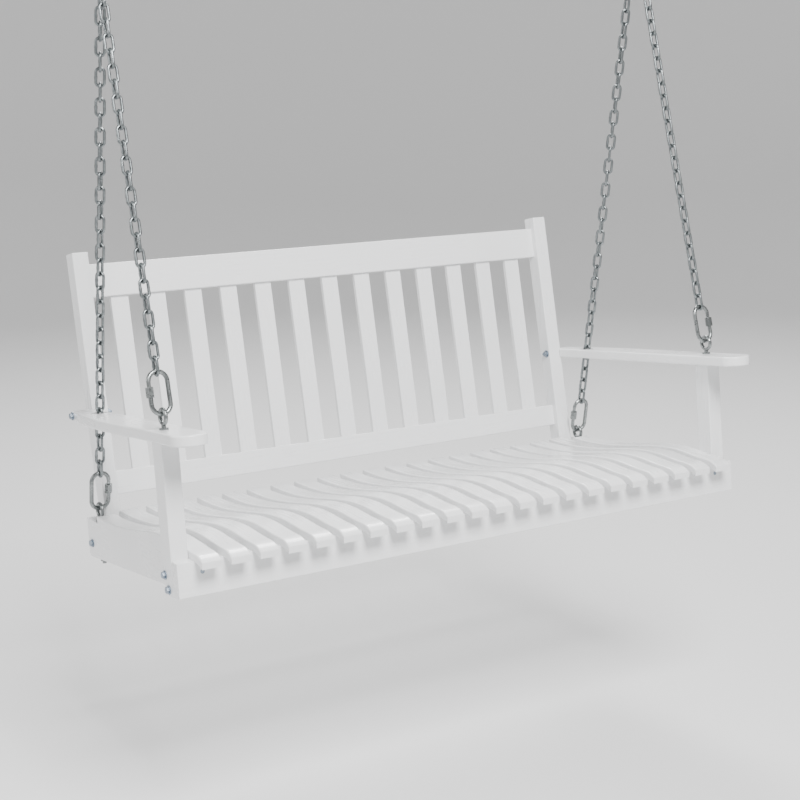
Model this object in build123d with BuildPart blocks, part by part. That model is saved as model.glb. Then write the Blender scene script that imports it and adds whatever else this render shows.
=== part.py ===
from build123d import *
import os
from math import acos, cos, degrees, hypot, radians, sin, tan

# Two-seat porch swing: a slatted wooden bench hung on four chains from two ceiling hooks.
# Everything is modelled in millimetres in the bench's own level frame and then moved
# into the hanging frame at export.
# Bench frame: X along the bench, Y to the rear, Z up, Y = 0 at the front rail's face,
# Z = 0 at the rails' underside.

# ---------------------------------------------------------------- bench frame sizes
bench_length = 1240.0        # front rail, over both arm posts
rail_thick = 22.0
rail_height = 62.0
rail_corner = 7.0            # rounded upper corner at each end of the front rail
post_width = 32.0            # arm post, along X
post_depth = 38.0            # arm post, along Y
side_thick = 27.0            # side rail, along X
side_corner = 9.0            # rounded lower rear corner of a side rail
cross_thick = 22.0
cross_height = 46.0
mid_cross_y = 205.0
rear_cross_y = 418.0
arm_underside = 262.0
arm_thick = 19.0
arm_rear_width = 36.0
arm_inner_step = 6.0         # the arm's inner edge is this far out at the front
arm_front_width = 64.0
arm_tip_y = -74.0
arm_end_margin = 8.0         # arm behind its rear bolt
arm_corner = 4.0             # rounded rear corner of an arm
stile_width = 32.0           # back stile, along X
stile_depth = 34.0
stile_foot_z = 4.0
stile_front_y = 455.0        # front face of the stiles at stile_datum_z
stile_datum_z = 100.0
stile_length = 481.0         # from the datum to the top, along the stile
recline = 6.0                # back's lean against the bench frame, degrees
top_rail_height = 64.0
top_rail_drop = 23.0         # stile stands this far above the top rail
lower_rail_height = 45.0
lower_rail_rise = 13.0       # lower rail's underside above the datum, along the stile
back_rail_thick = 18.0
back_rail_setback = 13.0     # from the stile's front face
back_slat_count = 13
back_slat_width = 36.0
back_slat_thick = 8.0
back_slat_setback = 6.5      # from the back rails' front face
tenon = 10.0                 # back slat in each rail
seat_slat_count = 22
seat_slat_width = 37.5
seat_slat_thick = 14.0
seat_slat_rear_y = 450.0
end_slat_rear_y = 430.0      # the end slats stop in front of the rear eye bolts
edge_round = 2.0             # eased edges of the boards
slat_round = 2.5

# seat surface across the bench, (Y, Z), front tip to rear
seat_curve = [(-31, 61.5), (-24, 67), (0, 73.5), (27, 77), (70, 84.5), (130, 89),
              (190, 86.5), (260, 80.5), (330, 77.5), (397, 79.5), (452, 85), (500, 90)]

# ---------------------------------------------------------------- fastener sizes
bolt_r = 3.0
bolt_clear = 0.3             # radial, in its own holes
bolt_head_r = 6.0
bolt_head = 4.5
washer_r = 8.0
washer_thick = 1.5
nut_r = 6.0                  # across the corners
nut_thick = 5.0
bolt_past_nut = 4.0
post_bolt_low = (40.0, 11.0)     # (Y, Z) of the lower bolt through post and side rail
post_bolt_high = (52.0, 35.0)
stile_bolt_z = 27.0
screw_r = 2.0
screw_head_r = 4.0
screw_length = 34.0
screw_sunk = 2.0             # head below the filled surface
end_screw_shift = 30.0       # end slats' screws from the cross rails' dowels
rail_screw_z = 41.0
rail_screw_length = 46.0
dowel_r = 5.0
dowel_length = 36.0

# ---------------------------------------------------------------- hanging hardware
eye_wire = 7.0
eye_r = 12.5                 # eye's centreline
eye_shank_r = 4.0
eye_collar_r = 8.0
eye_collar = 3.0
eye_neck = 3.0               # between the collar and the eye's ring
front_eye_depth = 80.0       # screwed into the post
eye_bolt_past_nut = 5.0
rear_eye_y = 446.0
spot_face_r = 10.0
spot_face = 1.5              # flat cut for the rear eye bolt's collar
link_wire = 5.4              # chain
link_pitch = 26.1
link_width = 20.2            # outside
link_gap = 0.1               # play at each contact
front_links = 29             # odd, so that the last link lies across the ring
rear_links = 38              # even, so this chain takes a quarter turn over its length
quick_wire = 8.0
quick_length = 80.0          # outside
quick_width = 42.0           # outside
quick_nut_r = 7.4            # across the corners of the hexagon
quick_nut = 18.0
quick_nut_rise = 2.0         # nut's place above the middle of the link
quick_nut_travel = 9.0
quick_thread_r = 3.5
quick_thread_clear = 0.05
quick_gap = (2.0, 9.0)       # opening in the link above the nut's lower end
ring_wire = 7.0
ring_r = 24.0                # centreline
ring_link_offset = 6.7       # each last link hangs this far from the ring's lowest point
hook_wire = 8.0
hook_r = 17.0                # centreline of the bowl
hook_bend_r = 9.0            # centreline of the bend under the shank
hook_end = 165.0             # where the bowl's bend ends, degrees up from the far side
hook_neck = 10.0             # straight shank below the flange
hook_thread = 65.0           # shank in the ceiling joist
hook_flange_r = 11.0
hook_flange = 3.0
chain_hole_r = 15.0          # chain's way through each arm
arm_notch = 5.0              # arm reaches this far inboard in front of the stile
notch_clear = 1.0
play = 0.5                   # between touching metal parts of different bodies
eye_play = 0.7               # quick link in its eye
lean = 5.6                   # bench's backward lean as it hangs, degrees

# ---------------------------------------------------------------- worked out
post_out = bench_length / 2
post_in = post_out - post_width
side_out = post_in
side_in = side_out - side_thick
stile_out = side_in
stile_in = stile_out - stile_width
post_y = rail_thick + post_depth / 2
post_x = (post_out + post_in) / 2
side_x = (side_out + side_in) / 2
arm_top = arm_underside + arm_thick
tilt = radians(recline)


def stile_y(z, depth=0.0):
    """Y of the plane that lies depth behind the stiles' front face, at height z."""
    return stile_front_y + (z - stile_datum_z) * tan(tilt) + depth / cos(tilt)


def back_point(along, depth):
    """(Y, Z) of a point on the back: along the stile from the datum, depth behind its face."""
    y = stile_front_y + along * sin(tilt) + depth * cos(tilt)
    z = stile_datum_z + along * cos(tilt) - depth * sin(tilt)
    return (y, z)


side_rear_y = stile_y(seat_curve[-2][1] / 2, stile_depth)
seat_pitch = (2 * side_out - seat_slat_width) / (seat_slat_count - 1)
back_gap = (2 * stile_in - back_slat_count * back_slat_width) / (back_slat_count + 1)
back_pitch = back_slat_width + back_gap
top_rail_top = stile_length - top_rail_drop
top_rail_low = top_rail_top - top_rail_height
lower_rail_top = lower_rail_rise + lower_rail_height
arm_bolt_z = arm_underside + arm_thick / 2
arm_bolt_y = stile_y(arm_bolt_z, stile_depth / 2) - 6
stile_bolt_y = stile_y(stile_bolt_z, stile_depth / 2)

seat_side = Plane.YZ         # sketches of profiles seen from the end of the bench


def side_plane(x):
    return seat_side.offset(x)


def back_plane(depth):
    """Plane of the reclined back, X along the bench and Y up along the stile."""
    y, z = back_point(0, depth)
    return Plane(origin=(0, y, z), x_dir=(1, 0, 0), z_dir=(0, -cos(tilt), sin(tilt)))


made = {}                    # finished pieces in the bench frame, by name


def finish(piece, name):
    piece.label = name
    made[name] = piece


def mirrored(piece):
    """The same piece at the other end of the bench."""
    return mirror(piece, about=Plane.YZ, mode=Mode.PRIVATE)


# ---------------------------------------------------------------- seat profile
with BuildLine(Plane.YZ) as seat_top_line:
    Spline(*seat_curve)


def seat_z(y):
    """Height of the seat surface at y, on the profile's own curve."""
    edge = seat_top_line.edges()[0]
    low, high = 0.0, 1.0
    for _ in range(40):
        middle = (low + high) / 2
        if (edge @ middle).Y < y:
            low = middle
        else:
            high = middle
    return (edge @ low).Z


def curve_points(y_from, y_to, drop, count=14):
    """Points (Y, Z) on the seat curve, moved down by drop."""
    step = (y_to - y_from) / (count - 1)
    return [(y_from + i * step, seat_z(y_from + i * step) - drop) for i in range(count)]


seat_front_y = seat_curve[0][0]
seat_end_y = seat_curve[-1][0]
over_points = curve_points(seat_front_y, seat_end_y, 0, 26)
under_points = curve_points(seat_front_y + 2.0, seat_end_y, seat_slat_thick, 26)


def above_rails(x_from, x_to):
    """Cutting tool: everything above the slats' underside from x_from to x_to."""
    far = 2 * seat_curve[0][1]
    with BuildPart() as tool:
        with BuildSketch(side_plane(x_from)):
            with BuildLine():
                Spline(*under_points)
                Polyline(under_points[-1], (seat_end_y, far), (seat_front_y, far), under_points[0])
            make_face()
        extrude(amount=x_to - x_from)
    return tool.part


def behind(y):
    """Cutting tool: everything behind y near the seat."""
    deep = 2 * seat_end_y
    with BuildPart() as tool:
        with BuildSketch(Plane.XZ.offset(-y)):
            Rectangle(2 * bench_length, deep)
        extrude(amount=-deep)
    return tool.part


# ---------------------------------------------------------------- how it hangs
# Each eye lies across the bench's length, and its quick link stands square to it and pulls
# from the eye's centre.
quick_span = quick_length - quick_wire               # bow wire to bow wire, centres
link_span = link_pitch + link_wire + link_gap        # the same for one chain link
quick_in_eye = (eye_wire + quick_wire) / 2 + eye_play
quick_start = eye_r - quick_in_eye
quick_to_link = (quick_wire + link_wire) / 2 + link_gap
ring_to_link = (ring_wire + link_wire) / 2 + play
eye_rise = eye_collar + eye_neck + eye_r + eye_wire / 2


def run_length(links):
    """Eye centre to the ring's wire centre along a chain of this many links."""
    return quick_start + quick_span - quick_to_link + (links - 1) * link_pitch + link_span - ring_to_link


def unit_to(eye, target):
    """Unit vector (X, Y, Z) from an eye's centre to a point."""
    steps = [there - here for here, there in zip(eye, target)]
    size = hypot(*steps)
    return [step / size for step in steps]


eye_flat_z = seat_z(rear_eye_y) - seat_slat_thick - spot_face
front_eye = (post_x, post_y, arm_top + eye_rise)
rear_eye = (side_x, rear_eye_y, eye_flat_z + eye_rise)
ring_x = (post_x + side_x) / 2
front_hang_x = ring_x + ring_link_offset           # the front chain hangs outboard
rear_hang_x = ring_x - ring_link_offset

# the ring hangs where the two chain lengths meet above the seat
base = hypot(rear_eye[1] - front_eye[1], rear_eye[2] - front_eye[2])
front_length = run_length(front_links)
rear_length = run_length(rear_links)
front_run = (front_length ** 2 - (front_eye[0] - front_hang_x) ** 2) ** 0.5
rear_run = (rear_length ** 2 - (rear_eye[0] - rear_hang_x) ** 2) ** 0.5
along = (front_run ** 2 - rear_run ** 2 + base ** 2) / (2 * base)
rise = (front_run ** 2 - along ** 2) ** 0.5
unit = ((rear_eye[1] - front_eye[1]) / base, (rear_eye[2] - front_eye[2]) / base)
apex_y = front_eye[1] + unit[0] * along - unit[1] * rise
apex_z = front_eye[2] + unit[1] * along + unit[0] * rise
front_dir = unit_to(front_eye, (front_hang_x, apex_y, apex_z))
rear_dir = unit_to(rear_eye, (rear_hang_x, apex_y, apex_z))
hole_reach = (arm_underside + arm_thick / 2 - rear_eye[2]) / rear_dir[2]
chain_hole_x = rear_eye[0] + rear_dir[0] * hole_reach
chain_hole_y = rear_eye[1] + rear_dir[1] * hole_reach


# ---------------------------------------------------------------- screws
def slat_screw_part(y, length):
    """One countersunk slat screw under the seat surface at y, in the slat's own middle plane."""
    top = seat_z(y) - screw_sunk
    with BuildPart() as screw:
        with BuildSketch(Plane.XY.offset(top)):
            with Locations((0, y)):
                Circle(screw_head_r)
        with BuildSketch(Plane.XY.offset(top - screw_head_r + screw_r)):
            with Locations((0, y)):
                Circle(screw_r)
        loft()
        with BuildSketch(Plane.XY.offset(top - screw_head_r + screw_r)):
            with Locations((0, y)):
                Circle(screw_r)
        extrude(amount=-(length - screw_head_r + screw_r))
    return screw.part


def slat_part(y_rear, screws):
    """One seat slat centred on X = 0: the seat curve over the slat's thickness."""
    cut = behind(y_rear)
    with BuildPart() as slat:
        with BuildSketch(side_plane(-seat_slat_width / 2)):
            with BuildLine():
                Spline(*over_points)
                Line(over_points[-1], under_points[-1])
                Spline(*under_points)
                Line(under_points[0], over_points[0])
            make_face()
        extrude(amount=seat_slat_width)
        add(cut, mode=Mode.SUBTRACT)
        crown = slat.faces().sort_by(Axis.Z)[-1]
        fillet(crown.edges(), slat_round)
        for screw in screws:
            add(screw, mode=Mode.SUBTRACT)
    return slat.part


screw_rows = (rail_thick / 2, mid_cross_y, rear_cross_y)
slat_screws = [slat_screw_part(y, screw_length) for y in screw_rows]
end_screw_rows = (2 * rail_thick, mid_cross_y + end_screw_shift, rear_cross_y - end_screw_shift)
end_screws = [slat_screw_part(y, screw_length) for y in end_screw_rows]
one_slat = slat_part(seat_slat_rear_y, slat_screws)
one_end_slat = slat_part(end_slat_rear_y, end_screws)
slat_xs = [-side_out + seat_slat_width / 2 + i * seat_pitch for i in range(seat_slat_count)]

with BuildPart() as seat_slats:
    for x in slat_xs[1:-1]:
        add(Pos(x, 0, 0) * one_slat)
finish(seat_slats.part, "seat_slats")

with BuildPart() as end_seat_slats:
    for x in (slat_xs[0], slat_xs[-1]):
        add(Pos(x, 0, 0) * one_end_slat)
finish(end_seat_slats.part, "end_seat_slats")

with BuildPart() as slat_screw_set:
    for x in slat_xs[1:-1]:
        for screw in slat_screws:
            add(Pos(x, 0, 0) * screw)
    for x in (slat_xs[0], slat_xs[-1]):
        for screw in end_screws:
            add(Pos(x, 0, 0) * screw)
finish(slat_screw_set.part, "slat_screws")


# ---------------------------------------------------------------- seat frame
def bolt_hole(y, z, x_from, x_to, radius):
    """Cylinder along X, as a cutting tool."""
    with BuildPart() as tool:
        with BuildSketch(side_plane(x_from)):
            with Locations((y, z)):
                Circle(radius)
        extrude(amount=x_to - x_from)
    return tool.part


def dowel_part(y, z, x):
    return bolt_hole(y, z, x - dowel_length / 2, x + dowel_length / 2, dowel_r)


hole_r = bolt_r + bolt_clear
post_bolts = (post_bolt_low, post_bolt_high)
cross_rows = (mid_cross_y, rear_cross_y)
cross_dowels = []
for row in cross_rows:
    for drop in (16.0, 34.0):
        cross_dowels.append((row, seat_z(row) - seat_slat_thick - drop))


above = above_rails(-post_out, post_out)
rail_blank_z = max(z for y, z in under_points if y < 2 * rail_thick)

with BuildPart() as front_rail:
    with BuildSketch(Plane.XZ):
        with Locations((0, rail_blank_z / 2)):
            Rectangle(bench_length, rail_blank_z)
    extrude(amount=-rail_thick)
    fillet(front_rail.edges().filter_by(Axis.Y).group_by(Axis.Z)[-1], rail_corner)
    fillet(front_rail.faces().sort_by(Axis.Y)[0].edges(), edge_round)
    add(above, mode=Mode.SUBTRACT)
    for x in slat_xs[1:-1]:
        add(Pos(x, 0, 0) * slat_screws[0], mode=Mode.SUBTRACT)


def rail_screw_part(x):
    """Screw through the front rail into the end of a side rail, along Y."""
    with BuildPart() as screw:
        with BuildSketch(Plane.XZ):
            with Locations((x, rail_screw_z)):
                Circle(screw_head_r)
        with BuildSketch(Plane.XZ.offset(-(screw_head_r - screw_r))):
            with Locations((x, rail_screw_z)):
                Circle(screw_r)
        loft()
        with BuildSketch(Plane.XZ.offset(-(screw_head_r - screw_r))):
            with Locations((x, rail_screw_z)):
                Circle(screw_r)
        extrude(amount=-(rail_screw_length - screw_head_r + screw_r))
    return screw.part


rail_screws = [rail_screw_part(x) for x in (-side_x, side_x)]
with BuildPart() as rail_screw_set:
    for screw in rail_screws:
        add(screw)
finish(rail_screw_set.part, "front_rail_screws")

with BuildPart() as bored_front_rail:
    add(front_rail.part)
    for screw in rail_screws:
        add(screw, mode=Mode.SUBTRACT)
finish(bored_front_rail.part, "front_rail")

def board_x(y_from, y_to, z_low, x_from, x_to):
    """Board along X under the slats."""
    high = seat_curve[0][1] + seat_slat_thick * 2
    with BuildPart() as board:
        with BuildSketch(side_plane(x_from)):
            with Locations(((y_from + y_to) / 2, (z_low + high) / 2)):
                Rectangle(y_to - y_from, high - z_low)
        extrude(amount=x_to - x_from)
        add(above, mode=Mode.SUBTRACT)
    return board.part


side_blank = board_x(rail_thick, side_rear_y, 0, side_in, side_out)
side_cuts = [bolt_hole(y, z, side_in, side_out, hole_r) for y, z in post_bolts]
side_cuts.append(bolt_hole(stile_bolt_y, stile_bolt_z, side_in, side_out, hole_r))
side_cuts += [dowel_part(y, z, side_in) for y, z in cross_dowels]
side_cuts.append(rail_screws[1])
side_cuts += [Pos(slat_xs[-1], 0, 0) * screw for screw in end_screws]
with BuildPart() as side_rail:
    add(side_blank)
    fillet(side_rail.edges().filter_by(Axis.X).group_by(Axis.Y)[-1].sort_by(Axis.Z)[0], side_corner)
    for cut in side_cuts:
        add(cut, mode=Mode.SUBTRACT)
    with BuildSketch(Plane.XY.offset(eye_flat_z)):
        with Locations((side_x, rear_eye_y)):
            Circle(spot_face_r)
    extrude(amount=seat_slat_thick, mode=Mode.SUBTRACT)
    with BuildSketch(Plane.XY):
        with Locations((side_x, rear_eye_y)):
            Circle(eye_shank_r + bolt_clear)
    extrude(amount=eye_flat_z, mode=Mode.SUBTRACT)
finish(side_rail.part, "side_rail_right")
finish(mirrored(side_rail.part), "side_rail_left")

for row, name, screw in zip(cross_rows, ("mid_cross_rail", "rear_cross_rail"), slat_screws[1:]):
    low = seat_z(row) - seat_slat_thick - cross_height
    cross_blank = board_x(row - cross_thick / 2, row + cross_thick / 2, low, -side_in, side_in)
    cross_cuts = [Pos(x, 0, 0) * screw for x in slat_xs[1:-1]]
    for y, z in cross_dowels:
        if y == row:
            cross_cuts += [dowel_part(y, z, x) for x in (-side_in, side_in)]
    with BuildPart() as cross_rail:
        add(cross_blank)
        for cut in cross_cuts:
            add(cut, mode=Mode.SUBTRACT)
    finish(cross_rail.part, name)

seat_dowel_parts = [dowel_part(y, z, x) for y, z in cross_dowels for x in (-side_in, side_in)]
with BuildPart() as seat_dowels:
    add(seat_dowel_parts)
finish(seat_dowels.part, "seat_dowels")

post_cuts = [bolt_hole(y, z, post_in, post_out, hole_r) for y, z in post_bolts]
with BuildPart() as arm_post:
    with BuildSketch(Plane.XY):
        with Locations((post_x, post_y)):
            Rectangle(post_width, post_depth)
    extrude(amount=arm_underside)
    fillet(arm_post.edges().filter_by(Axis.Z), edge_round)
    for cut in post_cuts:
        add(cut, mode=Mode.SUBTRACT)
    with BuildSketch(Plane.XY.offset(arm_underside)):
        with Locations((post_x, post_y)):
            Circle(eye_shank_r)
    extrude(amount=-(front_eye_depth - arm_thick), mode=Mode.SUBTRACT)
finish(arm_post.part, "arm_post_right")
finish(mirrored(arm_post.part), "arm_post_left")

# ---------------------------------------------------------------- arms
arm_rear_y = arm_bolt_y + arm_end_margin
arm_in_front = side_in + arm_inner_step
arm_out_front = arm_in_front + arm_front_width
arm_out_rear = side_in + arm_rear_width
tip_r = arm_front_width * 0.42
notch_y = stile_y(arm_underside) - notch_clear
arm_bolt_cut = bolt_hole(arm_bolt_y, arm_bolt_z, side_in - 1, arm_out_rear + 1, hole_r)
with BuildPart() as arm:
    with BuildSketch(Plane.XY.offset(arm_underside)):
        with BuildLine():
            inner = Polyline(
                (side_in, arm_rear_y),
                (side_in, notch_y),
                (side_in - arm_notch, notch_y),
                (arm_in_front, arm_tip_y + tip_r),
            )
            tip = ThreePointArc(
                inner @ 1,
                ((arm_in_front + arm_out_front) / 2, arm_tip_y),
                (arm_out_front, arm_tip_y + tip_r * 1.25),
            )
            outer = Spline(
                tip @ 1,
                (arm_out_front - 5, 180.0),
                (arm_out_rear + 26, chain_hole_y - 100),
                (arm_out_rear + 14, chain_hole_y),
                (arm_out_rear, arm_bolt_y - washer_r),
            )
            back = Line(outer @ 1, (arm_out_rear, arm_rear_y))
            Line(back @ 1, inner @ 0)
        make_face()
    extrude(amount=arm_thick)
    rear_corner = Vector(arm_out_rear, arm_rear_y, arm_bolt_z)
    fillet(arm.edges().filter_by(Axis.Z).sort_by_distance(rear_corner)[0], arm_corner)
    fillet(arm.edges().group_by(Axis.Z)[-1] + arm.edges().group_by(Axis.Z)[0], 3.0)
    with BuildSketch(Plane.XY.offset(arm_underside)):
        with Locations((chain_hole_x, chain_hole_y)):
            Circle(chain_hole_r)
        with Locations((post_x, post_y)):
            Circle(eye_shank_r)
    extrude(amount=arm_thick, mode=Mode.SUBTRACT)
    add(arm_bolt_cut, mode=Mode.SUBTRACT)
finish(arm.part, "arm_right")
finish(mirrored(arm.part), "arm_left")

# ---------------------------------------------------------------- back
foot_along = (stile_foot_z - stile_datum_z) / cos(tilt)
back_dowels_at = []
for low, height in ((lower_rail_rise, lower_rail_height), (top_rail_low, top_rail_height)):
    for share in (0.28, 0.72):
        back_dowels_at.append(back_point(low + height * share, back_rail_setback + back_rail_thick / 2))

stile_cuts = [bolt_hole(arm_bolt_y, arm_bolt_z, stile_in, stile_out, hole_r),
              bolt_hole(stile_bolt_y, stile_bolt_z, stile_in, stile_out, hole_r)]
stile_cuts += [dowel_part(y, z, stile_in) for y, z in back_dowels_at]
with BuildPart() as back_stile:
    with BuildSketch(side_plane(stile_in)):
        with BuildLine():
            Polyline(
                back_point(foot_along, 0),
                back_point(stile_length, 0),
                back_point(stile_length, stile_depth),
                back_point(foot_along, stile_depth),
                close=True,
            )
        make_face()
    extrude(amount=stile_width)
    fillet(back_stile.edges(), edge_round)
    for cut in stile_cuts:
        add(cut, mode=Mode.SUBTRACT)
finish(back_stile.part, "back_stile_right")
finish(mirrored(back_stile.part), "back_stile_left")

slat_depth = back_rail_setback + back_slat_setback
slat_low = lower_rail_top - tenon
slat_high = top_rail_low + tenon
slat_places = [(i - (back_slat_count - 1) / 2) * back_pitch for i in range(back_slat_count)]


def back_slat_tool():
    with BuildPart() as tool:
        with BuildSketch(back_plane(slat_depth)):
            for x in slat_places:
                with Locations((x, (slat_low + slat_high) / 2)):
                    Rectangle(back_slat_width, slat_high - slat_low)
        extrude(amount=-back_slat_thick)
    return tool.part


back_slat_blanks = back_slat_tool()
with BuildPart() as back_slats:
    add(back_slat_blanks)
finish(back_slats.part, "back_slats")


back_dowel_parts = [dowel_part(y, z, x) for y, z in back_dowels_at for x in (-stile_in, stile_in)]


def back_rail_part(low, height):
    with BuildPart() as rail:
        with BuildSketch(back_plane(back_rail_setback)):
            with Locations((0, low + height / 2)):
                Rectangle(2 * stile_in, height)
        extrude(amount=-back_rail_thick)
        fillet(rail.edges().filter_by(Axis.X), edge_round)
        add(back_slat_blanks, mode=Mode.SUBTRACT)
        for dowel in back_dowel_parts:
            add(dowel, mode=Mode.SUBTRACT)
    return rail.part


finish(back_rail_part(top_rail_low, top_rail_height), "back_top_rail")
finish(back_rail_part(lower_rail_rise, lower_rail_height), "back_lower_rail")

with BuildPart() as back_dowels:
    add(back_dowel_parts)
finish(back_dowels.part, "back_dowels")


# ---------------------------------------------------------------- bolts along X
def hexagon(x, y, z, radius, thick):
    with BuildPart() as body:
        with BuildSketch(side_plane(x)):
            with Locations((y, z)):
                RegularPolygon(radius, 6)
        extrude(amount=thick)
        fillet(body.edges(), 0.5)
    return body.part


def washer_part(x, y, z):
    with BuildPart() as body:
        with BuildSketch(side_plane(x)):
            with Locations((y, z)):
                Circle(washer_r)
                Circle(bolt_r + 0.2, mode=Mode.SUBTRACT)
        extrude(amount=washer_thick)
    return body.part


def bolt_part(y, z, x_in, x_out):
    """Hex-head bolt along X from its head outside x_out to its end inside x_in."""
    head_x = x_out + washer_thick
    end_x = x_in - washer_thick - nut_thick - bolt_past_nut
    head = hexagon(head_x, y, z, bolt_head_r, bolt_head)
    with BuildPart() as body:
        add(head)
        with BuildSketch(side_plane(end_x)):
            with Locations((y, z)):
                Circle(bolt_r)
        extrude(amount=head_x - end_x)
        tip = body.faces().sort_by(Axis.X)[0]
        chamfer(tip.edges(), 0.8)
    return body.part


def nut_part(y, z, x_in):
    blank = hexagon(x_in - washer_thick - nut_thick, y, z, nut_r, nut_thick)
    bore = bolt_hole(y, z, x_in - 2 * nut_r, x_in, bolt_r)
    return blank - bore


bolt_runs = [(y, z, side_in, post_out) for y, z in post_bolts]
bolt_runs.append((stile_bolt_y, stile_bolt_z, stile_in, side_out))
arm_runs = [(arm_bolt_y, arm_bolt_z, stile_in, arm_out_rear)]

for runs, names in ((bolt_runs, ("frame_bolts", "frame_bolt_washers", "frame_bolt_nuts")),
                    (arm_runs, ("arm_bolts", "arm_bolt_washers", "arm_bolt_nuts"))):
    shanks = [bolt_part(y, z, x_in, x_out) for y, z, x_in, x_out in runs]
    rounds = [washer_part(x_out, y, z) for y, z, x_in, x_out in runs]
    rounds += [washer_part(x_in - washer_thick, y, z) for y, z, x_in, x_out in runs]
    hexes = [nut_part(y, z, x_in) for y, z, x_in, x_out in runs]
    for pieces, name in zip((shanks, rounds, hexes), names):
        with BuildPart() as fasteners:
            add(pieces)
            add([mirrored(piece) for piece in pieces])
        finish(fasteners.part, name)


# ---------------------------------------------------------------- eye bolts
def eye_part(shank):
    """Eye centred on the origin in the XZ plane, on a collar, with its shank going down."""
    with BuildPart() as body:
        with BuildLine(Plane.XZ) as path:
            CenterArc((0, 0), eye_r, -90, 360)
        with BuildSketch(Plane(origin=path.line @ 0, z_dir=path.line % 0)):
            Circle(eye_wire / 2)
        sweep()
        with BuildSketch(Plane.XY.offset(-eye_rise)):
            Circle(eye_collar_r)
        extrude(amount=eye_collar)
        with BuildSketch(Plane.XY.offset(-eye_rise - shank)):
            Circle(eye_shank_r)
        extrude(amount=shank + eye_collar + eye_neck + eye_wire / 2)
    return body.part


rear_shank = eye_flat_z + washer_thick + nut_thick + eye_bolt_past_nut
front_eye_part = Pos(*front_eye) * (Rot(0, 0, 90) * eye_part(front_eye_depth))
rear_eye_part = Pos(*rear_eye) * (Rot(0, 0, 90) * eye_part(rear_shank))
for one_eye, name in ((front_eye_part, "front_eye_screws"), (rear_eye_part, "rear_eye_bolts")):
    with BuildPart() as eyes:
        add([one_eye, mirrored(one_eye)])
    finish(eyes.part, name)

with BuildPart() as eye_washers:
    with BuildSketch(Plane.XY):
        with Locations((side_x, rear_eye_y), (-side_x, rear_eye_y)):
            Circle(washer_r + 1)
            Circle(eye_shank_r + 0.2, mode=Mode.SUBTRACT)
    extrude(amount=-washer_thick)
finish(eye_washers.part, "rear_eye_washers")

with BuildPart() as eye_nuts:
    with BuildSketch(Plane.XY.offset(-washer_thick)):
        with Locations((side_x, rear_eye_y), (-side_x, rear_eye_y)):
            RegularPolygon(nut_r + 1.5, 6)
            Circle(eye_shank_r, mode=Mode.SUBTRACT)
    extrude(amount=-nut_thick)
finish(eye_nuts.part, "rear_eye_nuts")


# ---------------------------------------------------------------- chains and quick links
def run_location(eye, direction, along_run):
    """Place on a chain run at a distance from its eye: its Z runs up the chain."""
    origin = [start + step * along_run for start, step in zip(eye, direction)]
    return Plane(origin=origin, x_dir=(1, 0, 0), z_dir=direction).location


def oblong_part(span, width, wire):
    """Closed link in the XZ plane, standing on its lower bow's centre."""
    half = (width - wire) / 2
    with BuildPart() as link:
        with BuildLine(Plane.XZ) as path:
            left = Line((-half, half), (-half, span - half))
            upper = ThreePointArc(left @ 1, (0, span), (half, span - half))
            right = Line(upper @ 1, (half, half))
            ThreePointArc(right @ 1, (0, 0), left @ 0)
        with BuildSketch(Plane(origin=path.line @ 0, z_dir=path.line % 0)):
            Circle(wire / 2)
        sweep()
    return link.part


chain_link = oblong_part(link_span, link_width, link_wire)
nut_low = quick_span / 2 + quick_nut_rise - quick_nut / 2
quick_leg_x = (quick_width - quick_wire) / 2
upper_thread = nut_low + quick_gap[1]


quick_blank = oblong_part(quick_span, quick_width, quick_wire)


def quick_link_part(side):
    """Quick link in the XZ plane; side is the X side that carries the nut."""
    leg = (side * quick_leg_x, 0)
    with BuildPart() as link:
        add(quick_blank)
        with BuildSketch(Plane.XY.offset(nut_low)):
            with Locations(leg):
                Circle(quick_wire)
        extrude(amount=quick_nut + quick_nut_travel, mode=Mode.SUBTRACT)
        with BuildSketch(Plane.XY.offset(nut_low)):
            with Locations(leg):
                Circle(quick_thread_r)
        extrude(amount=quick_gap[0])
        with BuildSketch(Plane.XY.offset(upper_thread)):
            with Locations(leg):
                Circle(quick_thread_r)
        extrude(amount=quick_nut + quick_nut_travel - quick_gap[1])
    return link.part


def quick_nut_part(side):
    """Sleeve nut of a quick link, at its closed place."""
    with BuildPart() as nut:
        with BuildSketch(Plane.XY.offset(nut_low)):
            with Locations((side * quick_leg_x, 0)):
                RegularPolygon(quick_nut_r, 6)
        extrude(amount=quick_nut)
        fillet(nut.faces().sort_by(Axis.Z)[-1].edges() + nut.faces().sort_by(Axis.Z)[0].edges(), 0.8)
        with BuildSketch(Plane.XY.offset(nut_low)):
            with Locations((side * quick_leg_x, 0)):
                Circle(quick_thread_r + quick_thread_clear)
        extrude(amount=quick_nut, mode=Mode.SUBTRACT)
    return nut.part


def on_left(eye, direction):
    """The same eye and direction at the left end of the bench."""
    return ((-eye[0], eye[1], eye[2]), [-direction[0], direction[1], direction[2]])


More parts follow.
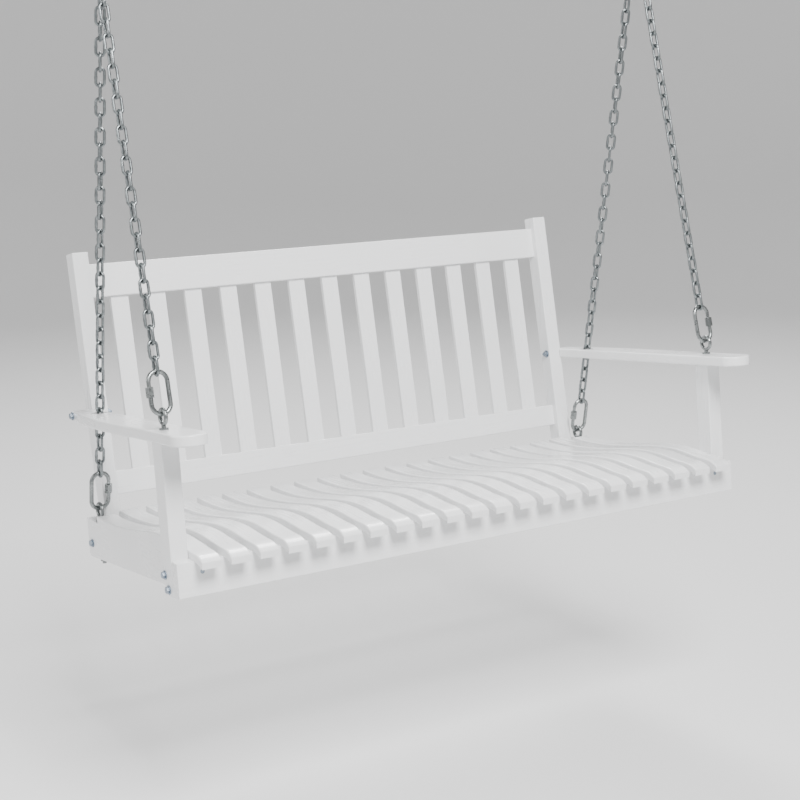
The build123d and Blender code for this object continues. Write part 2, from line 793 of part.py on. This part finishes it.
# name: eye and direction, number of links, the nut's side. The first link of each chain lies
# square to its quick link, and the last one square to the ring.
chain_runs = {
    "left_front": (on_left(front_eye, front_dir), front_links, -1),
    "left_rear": (on_left(rear_eye, rear_dir), rear_links, 1),
    "right_front": ((front_eye, front_dir), front_links, 1),
    "right_rear": ((rear_eye, rear_dir), rear_links, -1),
}
for name, ((eye, direction), links, side) in chain_runs.items():
    spare = 0 if links % 2 else 90                   # turn left over at the ring, in degrees
    link_parts = []
    for i in range(links):
        turn = 90 * ((i + 1) % 2) + spare * i / (links - 1)
        first = quick_start + quick_span - quick_to_link
        place = run_location(eye, direction, first + i * link_pitch)
        link_parts.append(place * (Rot(0, 0, turn) * chain_link))
    with BuildPart() as chain:
        add(link_parts)
    finish(chain.part, "chain_" + name)
    place = run_location(eye, direction, quick_start)
    finish(place * quick_link_part(side), "quick_link_" + name)
    finish(place * quick_nut_part(side), "quick_link_nut_" + name)

# ---------------------------------------------------------------- into the hanging frame
# Hanging frame: origin on the ceiling midway between the hooks, X along the bench,
# Y to the rear, Z up. The bench leans back by lean about the rings.
bend_angle = degrees(acos(hook_bend_r / (hook_r + hook_bend_r)))
bowl_z = -hook_flange - hook_neck - (hook_r + hook_bend_r) * sin(radians(bend_angle))
swing_z = bowl_z - hook_r + (hook_wire + ring_wire) / 2 + play
ring_z = swing_z - ring_r
link_rest_z = ring_z - (ring_r ** 2 - ring_link_offset ** 2) ** 0.5
hang = Pos(0, 0, link_rest_z) * Rot(-lean, 0, 0) * Pos(0, -apex_y, -apex_z)

os.makedirs("parts", exist_ok=True)
for name, piece in made.items():
    hung = hang * piece
    hung.label = name
    export_step(hung, "parts/" + name + ".step")

with BuildPart() as rings:
    for x in (-ring_x, ring_x):
        with BuildLine(Plane.XZ) as path:
            CenterArc((x, ring_z), ring_r, 0, 360)
        with BuildSketch(Plane(origin=path.line @ 0, z_dir=path.line % 0)):
            Circle(ring_wire / 2)
        sweep()
rings.part.label = "hanging_rings"
export_step(rings.part, "parts/hanging_rings.step")

neck_z = -hook_flange - hook_neck


def bend_point(share):
    """Point (Y, Z) on the bend between the shank and the bowl."""
    turn = radians(bend_angle * share)
    return (hook_bend_r * (1 - cos(turn)), neck_z - hook_bend_r * sin(turn))


for side, name in ((-1, "ceiling_hook_left"), (1, "ceiling_hook_right")):
    with BuildPart() as hook:
        with BuildLine(Plane.YZ.offset(side * ring_x)) as path:
            shank = Line((0, hook_thread), (0, neck_z))
            ThreePointArc(shank @ 1, bend_point(0.5), bend_point(1))
            CenterArc((0, bowl_z), hook_r, bend_angle, hook_end - 360 - bend_angle)
        with BuildSketch(Plane(origin=shank @ 0, z_dir=shank % 0)):
            Circle(hook_wire / 2)
        sweep(path=path.wires()[0])
        with BuildSketch(Plane.XY.offset(-hook_flange)):
            with Locations((side * ring_x, 0)):
                Circle(hook_flange_r)
        extrude(amount=hook_flange)
    hook.part.label = name
    export_step(hook.part, "parts/" + name + ".step")
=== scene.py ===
import math

import bmesh
import bpy
import numpy as np
from mathutils import Matrix, Vector


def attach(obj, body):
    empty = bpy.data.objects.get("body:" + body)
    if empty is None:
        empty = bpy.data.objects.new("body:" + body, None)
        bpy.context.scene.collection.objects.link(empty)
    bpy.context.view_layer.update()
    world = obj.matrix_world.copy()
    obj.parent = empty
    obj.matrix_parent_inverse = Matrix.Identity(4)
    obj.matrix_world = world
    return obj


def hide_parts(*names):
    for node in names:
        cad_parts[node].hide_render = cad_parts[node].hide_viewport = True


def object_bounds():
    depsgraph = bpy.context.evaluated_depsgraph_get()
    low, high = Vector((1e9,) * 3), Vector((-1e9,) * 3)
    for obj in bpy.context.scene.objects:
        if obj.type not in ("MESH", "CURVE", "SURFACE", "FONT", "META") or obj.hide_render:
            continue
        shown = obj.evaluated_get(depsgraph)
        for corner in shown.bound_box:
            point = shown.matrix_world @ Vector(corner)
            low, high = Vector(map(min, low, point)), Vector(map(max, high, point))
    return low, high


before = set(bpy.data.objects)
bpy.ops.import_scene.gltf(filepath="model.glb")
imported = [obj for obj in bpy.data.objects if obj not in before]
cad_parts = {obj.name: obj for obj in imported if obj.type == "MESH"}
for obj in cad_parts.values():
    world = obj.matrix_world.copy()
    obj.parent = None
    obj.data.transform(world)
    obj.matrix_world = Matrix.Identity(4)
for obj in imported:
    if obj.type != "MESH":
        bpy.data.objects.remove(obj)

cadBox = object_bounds()
print("frame loaded:", len(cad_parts), "parts")


# small helpers for node trees

def newGroup(name, kind, inputs, outputs):
    tree = bpy.data.node_groups.new(name, kind)
    for label, socketType, value in inputs:
        socket = tree.interface.new_socket(label, in_out="INPUT", socket_type=socketType)
        if value is not None:
            socket.default_value = value
    for label, socketType in outputs:
        tree.interface.new_socket(label, in_out="OUTPUT", socket_type=socketType)
    return tree, tree.nodes.new("NodeGroupInput"), tree.nodes.new("NodeGroupOutput")


def addNode(tree, kind, settings=None, values=None):
    node = tree.nodes.new(kind)
    for key, value in (settings or {}).items():
        setattr(node, key, value)
    for key, value in (values or {}).items():
        node.inputs[key].default_value = value
    return node


def mathNode(tree, operation, first, second):
    node = addNode(tree, "ShaderNodeMath", {"operation": operation})
    for slot, value in enumerate((first, second)):
        if isinstance(value, (int, float)):
            node.inputs[slot].default_value = value
        else:
            tree.links.new(value, node.inputs[slot])
    return node.outputs[0]


def scaledBy(tree, vector, scale):
    node = addNode(tree, "ShaderNodeVectorMath", {"operation": "MULTIPLY"})
    tree.links.new(vector, node.inputs[0])
    if isinstance(scale, tuple):
        node.inputs[1].default_value = scale
    else:
        tree.links.new(scale, node.inputs[1])
    return node.outputs[0]


def noiseOn(tree, vector, scale, detail, roughness):
    node = addNode(tree, "ShaderNodeTexNoise", None,
                   {"Scale": scale, "Detail": detail, "Roughness": roughness})
    tree.links.new(vector, node.inputs["Vector"])
    return node.outputs["Fac"]


def remap(tree, value, low, high, outLow, outHigh):
    node = addNode(tree, "ShaderNodeMapRange", None,
                   {"From Min": low, "From Max": high, "To Min": outLow, "To Max": outHigh})
    tree.links.new(value, node.inputs["Value"])
    return node.outputs["Result"]


def weightedSum(tree, weights):
    total = None
    for value, weight in weights:
        share = mathNode(tree, "MULTIPLY", value, weight)
        total = share if total is None else mathNode(tree, "ADD", total, share)
    return total


def mixColor(tree, mask, first, second):
    node = addNode(tree, "ShaderNodeMix", {"data_type": "RGBA"})
    tree.links.new(mask, node.inputs[0])
    colorIn = [s for s in node.inputs if s.type == "RGBA"]
    for socket, value in zip(colorIn, (first, second)):
        if isinstance(value, tuple):
            socket.default_value = value
        else:
            tree.links.new(value, socket)
    return [s for s in node.outputs if s.type == "RGBA"][0]


# paint over planed boards: grain showing through, brush marks, thin grime

paint = {
    "color": (0.80, 0.805, 0.81, 1.0),
    "grime": (0.60, 0.61, 0.60, 1.0),
    "grimeAmount": 0.16,
    "roughness": 0.27,
    "coat": 0.35,
    "bumpDepth": 0.00045,
    "bumpStrength": 0.55,
    "stretch": 0.07,               # grain along a board against across it
    # noise: scale, detail, roughness
    "grainNoise": (42.0, 6.0, 0.62),
    "brushNoise": (150.0, 3.0, 0.5),
    "peelNoise": (260.0, 2.0, 0.4),
    "cloudNoise": (5.5, 4.0, 0.55),
    # noise values between which grime builds up
    "grimeFrom": (0.48, 0.72),
    "grainGrimeFrom": (0.62, 0.78),
    "grainGrime": 0.10,            # most grime that the grain holds
    "cloudRough": (-0.05, 0.09),   # added to the roughness, clean to dull
    "brushRough": (-0.03, 0.03),
    "noiseMiddle": (0.3, 0.7),     # the noise values that most of a board has
    "grainHeight": 0.6,
    "brushHeight": 0.3,
    "peelHeight": 0.15,
}


def buildPaintGroup():
    tree, source, sink = newGroup(
        "brushedPaint", "ShaderNodeTree",
        [("Along", "NodeSocketVector", (1.0, 1.0, 1.0)),
         ("Paint", "NodeSocketColor", paint["color"]),
         ("Grime", "NodeSocketColor", paint["grime"]),
         ("Grime Amount", "NodeSocketFloat", paint["grimeAmount"]),
         ("Base Roughness", "NodeSocketFloat", paint["roughness"])],
        [("Color", "NodeSocketColor"), ("Roughness", "NodeSocketFloat"), ("Height", "NodeSocketFloat")])
    place = addNode(tree, "ShaderNodeTexCoord").outputs["Object"]
    stretched = scaledBy(tree, place, source.outputs["Along"])
    grain = noiseOn(tree, stretched, *paint["grainNoise"])
    brush = noiseOn(tree, stretched, *paint["brushNoise"])
    peel = noiseOn(tree, place, *paint["peelNoise"])
    cloud = noiseOn(tree, place, *paint["cloudNoise"])
    patches = remap(tree, cloud, *paint["grimeFrom"], 0.0, 1.0)
    grimeMask = mathNode(tree, "MULTIPLY", patches, source.outputs["Grime Amount"])
    inGrain = remap(tree, grain, *paint["grainGrimeFrom"], 0.0, paint["grainGrime"])
    grimeMask = mathNode(tree, "ADD", grimeMask, inGrain)
    color = mixColor(tree, grimeMask, source.outputs["Paint"], source.outputs["Grime"])
    tree.links.new(color, sink.inputs["Color"])
    dull = remap(tree, cloud, *paint["noiseMiddle"], *paint["cloudRough"])
    streaks = remap(tree, brush, *paint["noiseMiddle"], *paint["brushRough"])
    rough = mathNode(tree, "ADD", source.outputs["Base Roughness"], dull)
    tree.links.new(mathNode(tree, "ADD", rough, streaks), sink.inputs["Roughness"])
    height = weightedSum(tree, [(grain, paint["grainHeight"]), (brush, paint["brushHeight"]),
                                (peel, paint["peelHeight"])])
    tree.links.new(height, sink.inputs["Height"])
    return tree


# zinc plating: crystalline spangle, fine scratches, dull film in the lows

zinc = {
    # chain: metal and film colours are held dark as a painted dark reflection, standing in for the dark
    # surroundings that the links mirror
    "chain": {"Metal": (0.24, 0.26, 0.265, 1.0), "Film": (0.10, 0.11, 0.115, 1.0),
              "Film Amount": 0.6, "Base Roughness": 0.3, "Spangle Scale": 420.0},
    "fitting": {"Metal": (0.27, 0.285, 0.285, 1.0), "Film": (0.13, 0.14, 0.14, 1.0),
                "Film Amount": 0.4, "Base Roughness": 0.26, "Spangle Scale": 300.0},
    "fastener": {"Metal": (0.30, 0.36, 0.43, 1.0), "Film": (0.34, 0.36, 0.39, 1.0),
                 "Film Amount": 0.35, "Base Roughness": 0.34, "Spangle Scale": 520.0},
    "bumpDepth": 0.00006,
    "fastenerBumpDepth": 0.00005,
    "bumpStrength": 0.4,
    # noise: scale, detail, roughness
    "cloudNoise": (75.0, 5.0, 0.6),
    "scratchNoise": (1100.0, 2.0, 0.5),
    "scratchStretch": (1.0, 1.0, 0.15),
    "filmFrom": (0.42, 0.68),      # noise values between which the film builds up
    "flakeFilm": 0.14,             # most film that one flake adds
    "flakeRough": (-0.06, 0.08),   # added to the roughness, flake by flake
    "dullFrom": (0.4, 0.7),        # noise values between which the metal turns dull
    "dullRough": 0.14,
    "scratchHeight": 0.5,
    "cloudHeight": 0.5,
}


def buildZincGroup():
    finish = zinc["chain"]
    tree, source, sink = newGroup(
        "zincPlate", "ShaderNodeTree",
        [("Metal", "NodeSocketColor", finish["Metal"]),
         ("Film", "NodeSocketColor", finish["Film"]),
         ("Film Amount", "NodeSocketFloat", finish["Film Amount"]),
         ("Base Roughness", "NodeSocketFloat", finish["Base Roughness"]),
         ("Spangle Scale", "NodeSocketFloat", finish["Spangle Scale"])],
        [("Color", "NodeSocketColor"), ("Roughness", "NodeSocketFloat"), ("Height", "NodeSocketFloat")])
    place = addNode(tree, "ShaderNodeTexCoord").outputs["Object"]
    spangle = addNode(tree, "ShaderNodeTexVoronoi")
    tree.links.new(place, spangle.inputs["Vector"])
    tree.links.new(source.outputs["Spangle Scale"], spangle.inputs["Scale"])
    split = addNode(tree, "ShaderNodeSeparateColor")
    tree.links.new(spangle.outputs["Color"], split.inputs["Color"])
    flake = split.outputs["Red"]
    cloud = noiseOn(tree, place, *zinc["cloudNoise"])
    scratch = noiseOn(tree, scaledBy(tree, place, zinc["scratchStretch"]), *zinc["scratchNoise"])
    lows = remap(tree, cloud, *zinc["filmFrom"], 0.0, 1.0)
    mask = mathNode(tree, "MULTIPLY", lows, source.outputs["Film Amount"])
    mask = mathNode(tree, "ADD", mask, remap(tree, flake, 0.0, 1.0, 0.0, zinc["flakeFilm"]))
    color = mixColor(tree, mask, source.outputs["Metal"], source.outputs["Film"])
    tree.links.new(color, sink.inputs["Color"])
    flakeRough = remap(tree, flake, 0.0, 1.0, *zinc["flakeRough"])
    dull = remap(tree, cloud, *zinc["dullFrom"], 0.0, zinc["dullRough"])
    rough = mathNode(tree, "ADD", source.outputs["Base Roughness"], flakeRough)
    tree.links.new(mathNode(tree, "ADD", rough, dull), sink.inputs["Roughness"])
    height = weightedSum(tree, [(scratch, zinc["scratchHeight"]), (cloud, zinc["cloudHeight"])])
    tree.links.new(height, sink.inputs["Height"])
    return tree


coatRoughness = 0.12               # the clear gloss over the paint


def finishMaterial(name, group, values, metallic, coat, bumpDepth, bumpStrength):
    material = bpy.data.materials.new(name)
    material.use_nodes = True
    tree = material.node_tree
    shader = [n for n in tree.nodes if n.type == "BSDF_PRINCIPLED"][0]
    surface = addNode(tree, "ShaderNodeGroup", {"node_tree": group}, values)
    bump = addNode(tree, "ShaderNodeBump", None, {"Distance": bumpDepth, "Strength": bumpStrength})
    tree.links.new(surface.outputs["Color"], shader.inputs["Base Color"])
    tree.links.new(surface.outputs["Roughness"], shader.inputs["Roughness"])
    tree.links.new(surface.outputs["Height"], bump.inputs["Height"])
    tree.links.new(bump.outputs["Normal"], shader.inputs["Normal"])
    shader.inputs["Metallic"].default_value = metallic
    shader.inputs["Coat Weight"].default_value = coat
    shader.inputs["Coat Roughness"].default_value = coatRoughness
    return material


paintGroup = buildPaintGroup()
zincGroup = buildZincGroup()


def paintMaterial(name, axis):
    along = [1.0, 1.0, 1.0]
    along[axis] = paint["stretch"]
    values = {"Along": along, "Paint": paint["color"], "Grime": paint["grime"],
              "Grime Amount": paint["grimeAmount"], "Base Roughness": paint["roughness"]}
    return finishMaterial(name, paintGroup, values, metallic=0.0, coat=paint["coat"],
                          bumpDepth=paint["bumpDepth"], bumpStrength=paint["bumpStrength"])


def zincMaterial(name, finish, bumpDepth):
    return finishMaterial(name, zincGroup, zinc[finish], metallic=1.0, coat=0.0,
                          bumpDepth=bumpDepth, bumpStrength=zinc["bumpStrength"])


dowel = {
    "values": {"Along": (paint["stretch"], 1.0, 1.0), "Paint": (0.62, 0.44, 0.27, 1.0),
               "Grime": (0.40, 0.26, 0.14, 1.0), "Grime Amount": 0.5, "Base Roughness": 0.6},
    "bumpDepth": 0.0004,
    "bumpStrength": 0.6,
}
boardsAcross = paintMaterial("whitePaintAcross", 0)
boardsDeep = paintMaterial("whitePaintDeep", 1)
boardsUpright = paintMaterial("whitePaintUpright", 2)
dowelWood = finishMaterial("bareDowel", paintGroup, dowel["values"], metallic=0.0, coat=0.0,
                           bumpDepth=dowel["bumpDepth"], bumpStrength=dowel["bumpStrength"])
# the chain material carries a painted dark reflection in its darkened zinc colour
chainPaintedDarkMetal = zincMaterial("chainZincPaintedDark", "chain", zinc["bumpDepth"])
fittingMetal = zincMaterial("fittingZinc", "fitting", zinc["bumpDepth"])
fastenerMetal = zincMaterial("fastenerZinc", "fastener", zinc["fastenerBumpDepth"])
print("materials made")

acrossNodes = ("front_rail", "mid_cross_rail", "rear_cross_rail", "back_top_rail", "back_lower_rail")
deepNodes = ("seat_slats", "end_seat_slats", "side_rail_left", "side_rail_right", "arm_left", "arm_right")
uprightNodes = ("arm_post_left", "arm_post_right", "back_stile_left", "back_stile_right", "back_slats")


def materialFor(name):
    if name in acrossNodes:
        return boardsAcross
    if name in deepNodes:
        return boardsDeep
    if name in uprightNodes:
        return boardsUpright
    if "dowels" in name:
        return dowelWood
    if "chain" in name:
        return chainPaintedDarkMetal
    if "quick" in name or "eye_" in name or "hook" in name or "ring" in name:
        return fittingMetal
    return fastenerMetal


for name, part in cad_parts.items():
    part.data.materials.clear()
    part.data.materials.append(materialFor(name))
print("parts finished")


# chain links: one welded link, repeated where the frame has its links

chain = {
    "sides": 10,                   # around the wire
    "bowSteps": 8,                 # around each bow corner
    "weldSwell": 1.14,             # weld against the wire's radius
    "weldLength": 0.9,             # against the wire
    "bowShare": 0.499,             # bow radius against the link's width, just short of half
    "mergeWithin": 1e-6,           # joins the loose triangles of one link
}


def buildLinkTree():
    tree, source, sink = newGroup(
        "weldedLinks", "GeometryNodeTree",
        [("Geometry", "NodeSocketGeometry", None),
         ("Link Length", "NodeSocketFloat", 0.03),
         ("Link Width", "NodeSocketFloat", 0.013),
         ("Wire", "NodeSocketFloat", 0.0045),
         ("Weld Swell", "NodeSocketFloat", chain["weldSwell"]),
         ("Weld Length", "NodeSocketFloat", chain["weldLength"]),
         ("Sides", "NodeSocketInt", chain["sides"]),
         ("Bow Steps", "NodeSocketInt", chain["bowSteps"]),
         ("Finish", "NodeSocketMaterial", None)],
        [("Geometry", "NodeSocketGeometry")])
    link = tree.links.new
    outline = addNode(tree, "GeometryNodeCurvePrimitiveQuadrilateral")
    link(source.outputs["Link Width"], outline.inputs["Width"])
    link(source.outputs["Link Length"], outline.inputs["Height"])
    bowRadius = mathNode(tree, "MULTIPLY", source.outputs["Link Width"], chain["bowShare"])
    bows = addNode(tree, "GeometryNodeFilletCurve", None, {"Limit Radius": True})
    bows.mode = "POLY"
    link(outline.outputs["Curve"], bows.inputs["Curve"])
    link(bowRadius, bows.inputs["Radius"])
    link(source.outputs["Bow Steps"], bows.inputs["Count"])
    wireRadius = mathNode(tree, "MULTIPLY", source.outputs["Wire"], 0.5)
    wireRound = addNode(tree, "GeometryNodeCurvePrimitiveCircle")
    link(source.outputs["Sides"], wireRound.inputs["Resolution"])
    link(wireRadius, wireRound.inputs["Radius"])
    body = addNode(tree, "GeometryNodeCurveToMesh")
    link(bows.outputs["Curve"], body.inputs["Curve"])
    link(wireRound.outputs["Curve"], body.inputs["Profile Curve"])
    # the weld stands halfway along one leg
    sideX = mathNode(tree, "MULTIPLY", source.outputs["Link Width"], 0.5)
    weldLength = mathNode(tree, "MULTIPLY", source.outputs["Wire"], source.outputs["Weld Length"])
    reach = mathNode(tree, "MULTIPLY", weldLength, 0.5)
    ends = []
    for sign in (-1.0, 1.0):
        point = addNode(tree, "ShaderNodeCombineXYZ")
        link(sideX, point.inputs["X"])
        link(mathNode(tree, "MULTIPLY", reach, sign), point.inputs["Y"])
        ends.append(point.outputs["Vector"])
    weldLine = addNode(tree, "GeometryNodeCurvePrimitiveLine")
    link(ends[0], weldLine.inputs["Start"])
    link(ends[1], weldLine.inputs["End"])
    weldRound = addNode(tree, "GeometryNodeCurvePrimitiveCircle")
    link(source.outputs["Sides"], weldRound.inputs["Resolution"])
    link(mathNode(tree, "MULTIPLY", wireRadius, source.outputs["Weld Swell"]), weldRound.inputs["Radius"])
    weld = addNode(tree, "GeometryNodeCurveToMesh", None, {"Fill Caps": True})
    link(weldLine.outputs["Curve"], weld.inputs["Curve"])
    link(weldRound.outputs["Curve"], weld.inputs["Profile Curve"])
    oneLink = addNode(tree, "GeometryNodeJoinGeometry")
    link(body.outputs["Mesh"], oneLink.inputs["Geometry"])
    link(weld.outputs["Mesh"], oneLink.inputs["Geometry"])
    turn = addNode(tree, "GeometryNodeInputNamedAttribute", {"data_type": "FLOAT_VECTOR"}, {"Name": "turn"})
    onPoints = addNode(tree, "GeometryNodeInstanceOnPoints")
    link(source.outputs["Geometry"], onPoints.inputs["Points"])
    link(oneLink.outputs["Geometry"], onPoints.inputs["Instance"])
    link(turn.outputs["Attribute"], onPoints.inputs["Rotation"])
    real = addNode(tree, "GeometryNodeRealizeInstances")
    link(onPoints.outputs["Instances"], real.inputs["Geometry"])
    coat = addNode(tree, "GeometryNodeSetMaterial")
    link(real.outputs["Geometry"], coat.inputs["Geometry"])
    link(source.outputs["Finish"], coat.inputs["Material"])
    link(coat.outputs["Geometry"], sink.inputs["Geometry"])
    return tree


def solidsOf(node):
    copy = bmesh.new()
    copy.from_mesh(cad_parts[node].data)
    bmesh.ops.remove_doubles(copy, verts=copy.verts, dist=chain["mergeWithin"])
    seen = set()
    solids = []
    for start in copy.verts:
        if start in seen:
            continue
        seen.add(start)
        queue, found = [start], []
        while queue:
            vert = queue.pop()
            found.append(tuple(vert.co))
            for edge in vert.link_edges:
                other = edge.other_vert(vert)
                if other not in seen:
                    seen.add(other)
                    queue.append(other)
        solids.append(np.array(found))
    copy.free()
    return solids


def linkPlaces(node):
    solids = solidsOf(node)
    middles = [(s.min(axis=0) + s.max(axis=0)) / 2 for s in solids]
    order = sorted(range(len(solids)), key=lambda i: middles[i][2])
    along = Vector(middles[order[-1]] - middles[order[0]]).normalized()
    sideA = (Vector((1, 0, 0)) - along * along.x).normalized()
    sideB = along.cross(sideA)
    places = []
    for i in order:
        # across is the link's wider direction, square to the chain
        flat = np.array([solids[i] @ np.array(sideA), solids[i] @ np.array(sideB)])
        flat -= flat.mean(axis=1, keepdims=True)
        turnA, turnB = np.linalg.eigh(np.cov(flat))[1][:, 1]
        across = (sideA * float(turnA) + sideB * float(turnB)).normalized()
        normal = across.cross(along)
        spans, middle = [], Vector()
        for axis in (along, across, normal):
            reach = solids[i] @ np.array(axis)
            spans.append(float(reach.max() - reach.min()))
            middle += axis * float((reach.max() + reach.min()) / 2)
        turn = Matrix((across, along, normal)).transposed().to_euler()
        places.append((middle, turn, *spans))
    return places


def pointsObject(name, places):
    mesh = bpy.data.meshes.new(name)
    mesh.from_pydata([tuple(p[0]) for p in places], [], [])
    turns = mesh.attributes.new("turn", "FLOAT_VECTOR", "POINT")
    for i, place in enumerate(places):
        turns.data[i].vector = tuple(place[1])
    points = bpy.data.objects.new(name, mesh)
    bpy.context.scene.collection.objects.link(points)
    return points


def plainMeshFrom(holder, tree, values, name):
    modifier = holder.modifiers.new("nodes", "NODES")
    modifier.node_group = tree
    for item in tree.interface.items_tree:
        if item.item_type == "SOCKET" and item.in_out == "INPUT" and item.name in values:
            modifier[item.identifier] = values[item.name]
    depsgraph = bpy.context.evaluated_depsgraph_get()
    mesh = bpy.data.meshes.new_from_object(holder.evaluated_get(depsgraph))
    mesh.name = name
    holder.modifiers.clear()
    bpy.data.objects.remove(holder)
    for face in mesh.polygons:
        face.use_smooth = True
    piece = bpy.data.objects.new(name, mesh)
    bpy.context.scene.collection.objects.link(piece)
    return piece


linkTree = buildLinkTree()
for run in ("left_front", "left_rear", "right_front", "right_rear"):
    node = "chain_" + run
    places = linkPlaces(node)
    middle = places[len(places) // 2]
    size = {"Link Length": middle[2] - middle[4], "Link Width": middle[3] - middle[4],
            "Wire": middle[4], "Weld Swell": chain["weldSwell"], "Weld Length": chain["weldLength"],
            "Sides": chain["sides"], "Bow Steps": chain["bowSteps"], "Finish": chainPaintedDarkMetal}
    holder = pointsObject("links_" + run, places)
    piece = plainMeshFrom(holder, linkTree, size, "welded_" + node)
    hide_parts(node)
    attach(piece, run.split("_")[0] + "_chains")
print("chains made")


# studio: pale floor, large soft lights, the camera

studio = {
    "floorDrop": 0.42,             # floor under the seat
    "floorRadius": 6.0,
    "floorRings": (0.25, 0.5, 1.0),
    "floorSides": 72,
    "coveRadius": 2.5,             # floor curving up into the wall
    "coveSteps": 12,
    "wallHeight": 5.0,
    "floorColor": (0.74, 0.74, 0.74, 1.0),
    "floorRoughness": 0.9,
    "skyColor": (1.0, 1.0, 1.0, 1.0),
    "skyStrength": 0.4,
    "cameraPlace": (-1.6838, -2.6848, -0.3300),
    "cameraTurn": (78.579, 0.961, -32.254),
    "lens": 73.6,
    "sensorWidth": 36.0,
    "lights": [
        # place, aims at, size, power, name
        ((-0.6, -3.0, 2.4), (0.0, 0.0, -0.9), 1.8, 430.0, "key"),
        ((-3.6, 0.6, 0.6), (0.0, 0.0, -0.9), 2.0, 60.0, "fill"),
        ((1.8, 2.6, 2.6), (0.0, 0.1, -0.9), 1.6, 220.0, "back"),
    ],
}


def addFloor():
    low = cadBox[0][2]
    height = low - studio["floorDrop"]
    cove, steps, around = studio["coveRadius"], studio["coveSteps"], studio["floorSides"]
    profile = [(studio["floorRadius"] * share, height) for share in studio["floorRings"]]
    for step in range(1, steps + 1):
        turn = math.pi / 2 * step / steps
        outward, upward = cove * math.sin(turn), cove * (1 - math.cos(turn))
        profile.append((studio["floorRadius"] + outward, height + upward))
    profile.append((studio["floorRadius"] + cove, height + cove + studio["wallHeight"]))
    points = [(0.0, 0.0, height)]
    for radius, level in profile:
        for place in range(around):
            angle = 2 * math.pi * place / around
            points.append((radius * math.cos(angle), radius * math.sin(angle), level))
    faces = [(0, 1 + place, 1 + (place + 1) % around) for place in range(around)]
    for ring in range(len(profile) - 1):
        first = 1 + ring * around
        for place in range(around):
            following = (place + 1) % around
            faces.append((first + place, first + around + place,
                          first + around + following, first + following))
    mesh = bpy.data.meshes.new("floor")
    mesh.from_pydata(points, [], faces)
    for face in mesh.polygons:
        face.use_smooth = True
    floor = bpy.data.objects.new("floor", mesh)
    bpy.context.scene.collection.objects.link(floor)
    material = bpy.data.materials.new("paleFloor")
    material.use_nodes = True
    shader = [n for n in material.node_tree.nodes if n.type == "BSDF_PRINCIPLED"][0]
    shader.inputs["Base Color"].default_value = studio["floorColor"]
    shader.inputs["Roughness"].default_value = studio["floorRoughness"]
    floor.data.materials.append(material)


def addLights():
    for place, target, size, power, name in studio["lights"]:
        lamp = bpy.data.lights.new(name, "AREA")
        lamp.energy = power
        lamp.size = size
        holder = bpy.data.objects.new(name, lamp)
        bpy.context.scene.collection.objects.link(holder)
        holder.location = place
        holder.rotation_euler = (Vector(target) - Vector(place)).to_track_quat("-Z", "Y").to_euler()
    world = bpy.data.worlds.new("studio")
    world.use_nodes = True
    back = [n for n in world.node_tree.nodes if n.type == "BACKGROUND"][0]
    back.inputs["Color"].default_value = studio["skyColor"]
    back.inputs["Strength"].default_value = studio["skyStrength"]
    bpy.context.scene.world = world


def addCamera():
    lens = bpy.data.cameras.new("camera")
    lens.lens = studio["lens"]
    lens.sensor_width = studio["sensorWidth"]
    camera = bpy.data.objects.new("camera", lens)
    bpy.context.scene.collection.objects.link(camera)
    camera.location = studio["cameraPlace"]
    camera.rotation_euler = [math.radians(angle) for angle in studio["cameraTurn"]]
    bpy.context.scene.camera = camera


addFloor()
addLights()
addCamera()
print("studio set")
